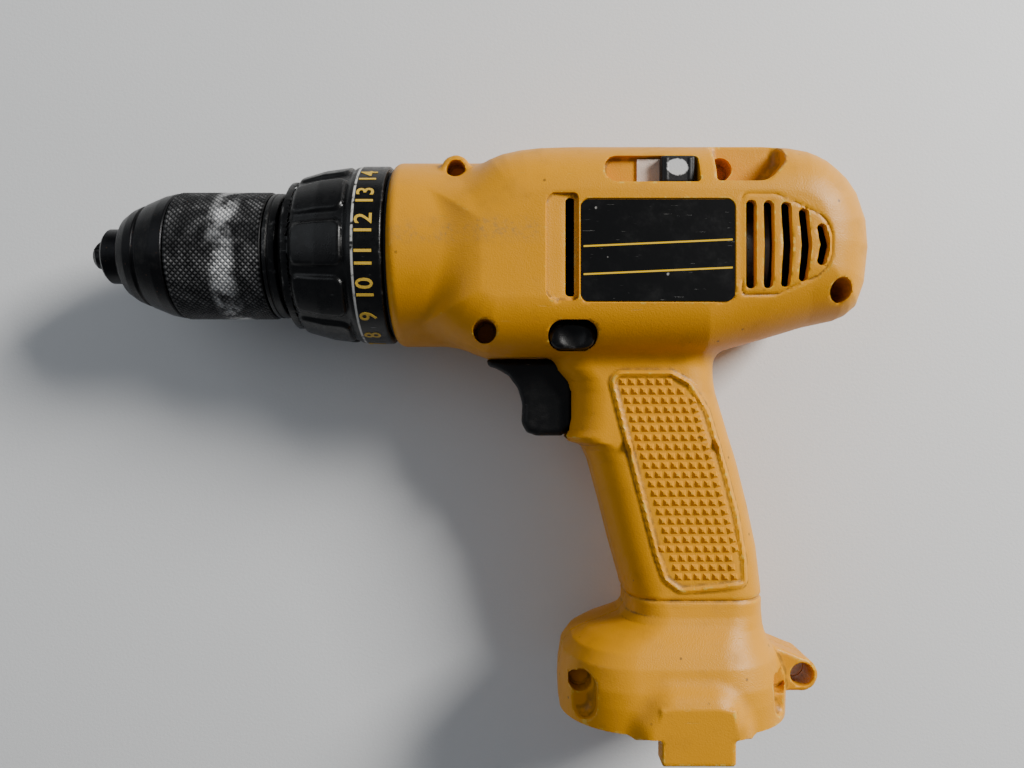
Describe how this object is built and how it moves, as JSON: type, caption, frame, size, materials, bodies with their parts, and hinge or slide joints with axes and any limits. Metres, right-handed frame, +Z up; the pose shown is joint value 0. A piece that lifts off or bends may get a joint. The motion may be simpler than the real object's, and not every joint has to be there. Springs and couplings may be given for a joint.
{
  "type": "cordless drill",
  "caption": "Pistol-grip cordless drill without its battery: keyless chuck, numbered clutch ring, planetary gearbox, trigger, direction button and flared battery base.",
  "frame": {"origin": "under the middle of the drill's bounding box, on the surface that it lies on", "axes": "lying on its right side: +X from chuck to motor end, +Y from base to top, +Z up through its left side"},
  "size_m": [0.255, 0.1914, 0.066],
  "materials": {
    "yellow_shell": "lightly textured moulded plastic",
    "black_plastic": "satin moulded plastic",
    "label_film": "printed film",
    "chuck_steel": "blackened steel",
    "bright_steel": "ground steel",
    "screw_steel": "black oxide",
    "gear_steel": "sintered steel",
    "case_plastic": "glass filled plastic",
    "copper": "enamelled copper",
    "magnet": "ferrite",
    "carbon": "carbon",
    "contact_brass": "plated brass",
    "lead_insulation": "insulation",
    "zinc_can": "zinc plated"
  },
  "bodies": {
    "housing": {"left_housing": "yellow_shell", "right_housing": "yellow_shell", "housing_screws": "screw_steel", "label_left": "label_film", "label_right": "label_film", "gear_case": "case_plastic", "clutch_spring": "bright_steel", "clutch_washer": "bright_steel", "clutch_pins": "bright_steel", "clutch_snap_ring": "screw_steel", "ring_gear_output": "gear_steel", "ring_gear_input": "gear_steel", "spindle_bearings": "bright_steel", "motor_mount": "case_plastic", "motor_bearings": "bright_steel", "motor_can": "zinc_can", "motor_magnets": "magnet", "brush_holder": "black_plastic", "carbon_brushes": "carbon", "trigger_switch": "black_plastic", "trigger_spring": "bright_steel", "terminal_block": "black_plastic", "battery_contacts": "contact_brass", "motor_leads": "lead_insulation", "battery_leads": "lead_insulation"},
    "spindle": {"output_spindle": "bright_steel", "spindle_circlip": "screw_steel", "chuck_body": "chuck_steel", "chuck_collar": "black_plastic", "chuck_screw": "screw_steel"},
    "chuck_sleeve": {"chuck_sleeve": "chuck_steel", "chuck_hood": "black_plastic", "chuck_nut": "bright_steel"},
    "carrier_middle": {"carrier_middle": "gear_steel"},
    "carrier_input": {"carrier_input": "gear_steel"},
    "rotor": {"motor_shaft": "bright_steel", "motor_pinion": "gear_steel", "cooling_fan": "black_plastic", "armature_core": "zinc_can", "armature_windings": "copper", "commutator": "copper"},
    "clutch_ring": {"clutch_ring": "black_plastic"},
    "clutch_nut": {"clutch_nut": "case_plastic"},
    "shifter": {"shift_rod": "bright_steel", "ring_gear_shifting": "gear_steel"},
    "speed_selector": {"speed_selector": "black_plastic"},
    "trigger": {"trigger": "black_plastic"},
    "direction_button": {"direction_button": "black_plastic"},
    "planet_output_1": {"planet_output_1": "gear_steel"},
    "planet_output_2": {"planet_output_2": "gear_steel"},
    "planet_output_3": {"planet_output_3": "gear_steel"},
    "planet_middle_1": {"planet_middle_1": "gear_steel"},
    "planet_middle_2": {"planet_middle_2": "gear_steel"},
    "planet_middle_3": {"planet_middle_3": "gear_steel"},
    "planet_input_1": {"planet_input_1": "gear_steel"},
    "planet_input_2": {"planet_input_2": "gear_steel"},
    "planet_input_3": {"planet_input_3": "gear_steel"},
    "chuck_jaw_1": {"chuck_jaw_1": "chuck_steel"},
    "chuck_jaw_2": {"chuck_jaw_2": "chuck_steel"},
    "chuck_jaw_3": {"chuck_jaw_3": "chuck_steel"}
  },
  "joints": [
    {"name": "spindle_turn", "type": "hinge", "parent": "housing", "child": "spindle", "pos_m": [-0.0255, 0.0623, 0.033], "axis": [1, 0, 0], "continuous": true},
    {"name": "carrier_middle_turn", "type": "hinge", "parent": "housing", "child": "carrier_middle", "pos_m": [-0.0255, 0.0623, 0.033], "axis": [1, 0, 0], "continuous": true},
    {"name": "carrier_input_turn", "type": "hinge", "parent": "housing", "child": "carrier_input", "pos_m": [-0.0255, 0.0623, 0.033], "axis": [1, 0, 0], "continuous": true},
    {"name": "rotor_turn", "type": "hinge", "parent": "housing", "child": "rotor", "pos_m": [-0.0255, 0.0623, 0.033], "axis": [1, 0, 0], "continuous": true},
    {"name": "planet_output_1_turn", "type": "hinge", "parent": "spindle", "child": "planet_output_1", "pos_m": [-0.0255, 0.07468, 0.033], "axis": [1, 0, 0], "continuous": true},
    {"name": "planet_output_2_turn", "type": "hinge", "parent": "spindle", "child": "planet_output_2", "pos_m": [-0.0255, 0.05611, 0.04372], "axis": [1, 0, 0], "continuous": true},
    {"name": "planet_output_3_turn", "type": "hinge", "parent": "spindle", "child": "planet_output_3", "pos_m": [-0.0255, 0.05611, 0.02228], "axis": [1, 0, 0], "continuous": true},
    {"name": "planet_middle_1_turn", "type": "hinge", "parent": "carrier_middle", "child": "planet_middle_1", "pos_m": [-0.0255, 0.07468, 0.033], "axis": [1, 0, 0], "continuous": true},
    {"name": "planet_middle_2_turn", "type": "hinge", "parent": "carrier_middle", "child": "planet_middle_2", "pos_m": [-0.0255, 0.05611, 0.04372], "axis": [1, 0, 0], "continuous": true},
    {"name": "planet_middle_3_turn", "type": "hinge", "parent": "carrier_middle", "child": "planet_middle_3", "pos_m": [-0.0255, 0.05611, 0.02228], "axis": [1, 0, 0], "continuous": true},
    {"name": "planet_input_1_turn", "type": "hinge", "parent": "carrier_input", "child": "planet_input_1", "pos_m": [-0.0255, 0.07468, 0.033], "axis": [1, 0, 0], "continuous": true},
    {"name": "planet_input_2_turn", "type": "hinge", "parent": "carrier_input", "child": "planet_input_2", "pos_m": [-0.0255, 0.05611, 0.04372], "axis": [1, 0, 0], "continuous": true},
    {"name": "planet_input_3_turn", "type": "hinge", "parent": "carrier_input", "child": "planet_input_3", "pos_m": [-0.0255, 0.05611, 0.02228], "axis": [1, 0, 0], "continuous": true},
    {"name": "chuck_sleeve_turn", "type": "hinge", "parent": "spindle", "child": "chuck_sleeve", "pos_m": [-0.0255, 0.0623, 0.033], "axis": [1, 0, 0], "range_deg": [0, 1800]},
    {"name": "chuck_jaw_1_slide", "type": "slide", "parent": "spindle", "child": "chuck_jaw_1", "axis": [0.9659, 0.2588, 0], "range_m": [0, 0.014]},
    {"name": "chuck_jaw_2_slide", "type": "slide", "parent": "spindle", "child": "chuck_jaw_2", "axis": [0.9659, -0.1294, 0.2241], "range_m": [0, 0.014]},
    {"name": "chuck_jaw_3_slide", "type": "slide", "parent": "spindle", "child": "chuck_jaw_3", "axis": [0.9659, -0.1294, -0.2241], "range_m": [0, 0.014]},
    {"name": "clutch_turn", "type": "hinge", "parent": "housing", "child": "clutch_ring", "pos_m": [-0.0255, 0.0623, 0.033], "axis": [1, 0, 0], "range_deg": [-300, 0]},
    {"name": "clutch_nut_slide", "type": "slide", "parent": "clutch_ring", "child": "clutch_nut", "axis": [1, 0, 0], "range_m": [-0.0055, 0], "deforming": ["clutch_spring"]},
    {"name": "selector_slide", "type": "slide", "parent": "housing", "child": "speed_selector", "axis": [-1, 0, 0], "range_m": [0, 0.01]},
    {"name": "shifter_slide", "type": "slide", "parent": "housing", "child": "shifter", "axis": [1, 0, 0], "range_m": [0, 0.004]},
    {"name": "trigger_slide", "type": "slide", "parent": "housing", "child": "trigger", "axis": [1, 0, 0], "range_m": [0, 0.006], "stiffness_N_per_m": 900, "springref_m": -0.008, "deforming": ["trigger_spring"]},
    {"name": "direction_button_slide", "type": "slide", "parent": "housing", "child": "direction_button", "axis": [0, 0, -1], "range_m": [0, 0.006]}
  ],
  "couplings": [
    {"joint": "carrier_middle_turn", "follows": "spindle_turn", "ratio": 3.6667},
    {"joint": "carrier_input_turn", "follows": "spindle_turn", "ratio": 13.444},
    {"joint": "rotor_turn", "follows": "spindle_turn", "ratio": 49.296},
    {"joint": "planet_output_1_turn", "follows": "spindle_turn", "ratio": -3.2},
    {"joint": "planet_output_2_turn", "follows": "spindle_turn", "ratio": -3.2},
    {"joint": "planet_output_3_turn", "follows": "spindle_turn", "ratio": -3.2},
    {"joint": "planet_middle_1_turn", "follows": "spindle_turn", "ratio": -11.733},
    {"joint": "planet_middle_2_turn", "follows": "spindle_turn", "ratio": -11.733},
    {"joint": "planet_middle_3_turn", "follows": "spindle_turn", "ratio": -11.733},
    {"joint": "planet_input_1_turn", "follows": "spindle_turn", "ratio": -43.022},
    {"joint": "planet_input_2_turn", "follows": "spindle_turn", "ratio": -43.022},
    {"joint": "planet_input_3_turn", "follows": "spindle_turn", "ratio": -43.022},
    {"joint": "chuck_jaw_1_slide", "follows": "chuck_sleeve_turn", "m_per_rad": 0.00044563},
    {"joint": "chuck_jaw_2_slide", "follows": "chuck_sleeve_turn", "m_per_rad": 0.00044563},
    {"joint": "chuck_jaw_3_slide", "follows": "chuck_sleeve_turn", "m_per_rad": 0.00044563},
    {"joint": "clutch_nut_slide", "follows": "clutch_turn", "m_per_rad": 0.0010504},
    {"joint": "shifter_slide", "follows": "selector_slide", "ratio": 0.4}
  ]
}
